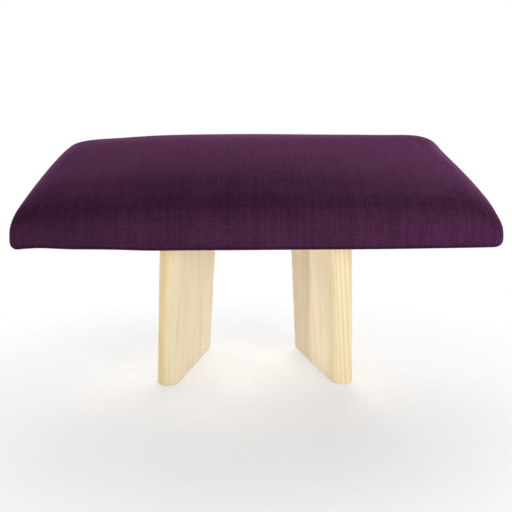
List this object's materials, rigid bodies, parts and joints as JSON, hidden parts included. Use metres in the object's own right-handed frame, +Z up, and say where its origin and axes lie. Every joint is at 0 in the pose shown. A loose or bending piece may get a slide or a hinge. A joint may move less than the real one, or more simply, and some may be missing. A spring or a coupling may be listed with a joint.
{
  "type": "meditation bench",
  "caption": "Low kneeling bench: padded cloth seat tilted forward on two narrow-set, toed-in wooden board legs with half-round edges.",
  "frame": {"origin": "on the floor, under the middle of the bench's bounding box", "axes": "+X across the seat to the right of someone looking at its low front edge, -Y to that low front edge, which the sitter faces, +Z up"},
  "size_m": [0.406, 0.2528, 0.2442],
  "materials": {
    "plum_cloth": "coarse basket weave, matt",
    "white_wadding": "soft matt",
    "cream_foam": "matt foam",
    "board_wood": "sanded plywood",
    "pine": "satin oil",
    "zinc_steel": "zinc plated"
  },
  "bodies": {
    "root": {"fabric_cover": "plum_cloth", "wadding": "white_wadding", "foam_pad": "cream_foam", "seat_board": "board_wood", "left_leg": "pine", "right_leg": "pine", "left_leg_screw_1": "zinc_steel", "left_leg_screw_2": "zinc_steel", "left_leg_screw_3": "zinc_steel", "right_leg_screw_1": "zinc_steel", "right_leg_screw_2": "zinc_steel", "right_leg_screw_3": "zinc_steel", "staple_01": "zinc_steel", "staple_02": "zinc_steel", "staple_03": "zinc_steel", "staple_04": "zinc_steel", "staple_05": "zinc_steel", "staple_06": "zinc_steel", "staple_07": "zinc_steel", "staple_08": "zinc_steel", "staple_09": "zinc_steel", "staple_10": "zinc_steel", "staple_11": "zinc_steel", "staple_12": "zinc_steel", "staple_13": "zinc_steel", "staple_14": "zinc_steel", "staple_15": "zinc_steel", "staple_16": "zinc_steel", "staple_17": "zinc_steel", "staple_18": "zinc_steel", "staple_19": "zinc_steel", "staple_20": "zinc_steel", "staple_21": "zinc_steel", "staple_22": "zinc_steel", "staple_23": "zinc_steel", "staple_24": "zinc_steel"}
  },
  "joints": []
}
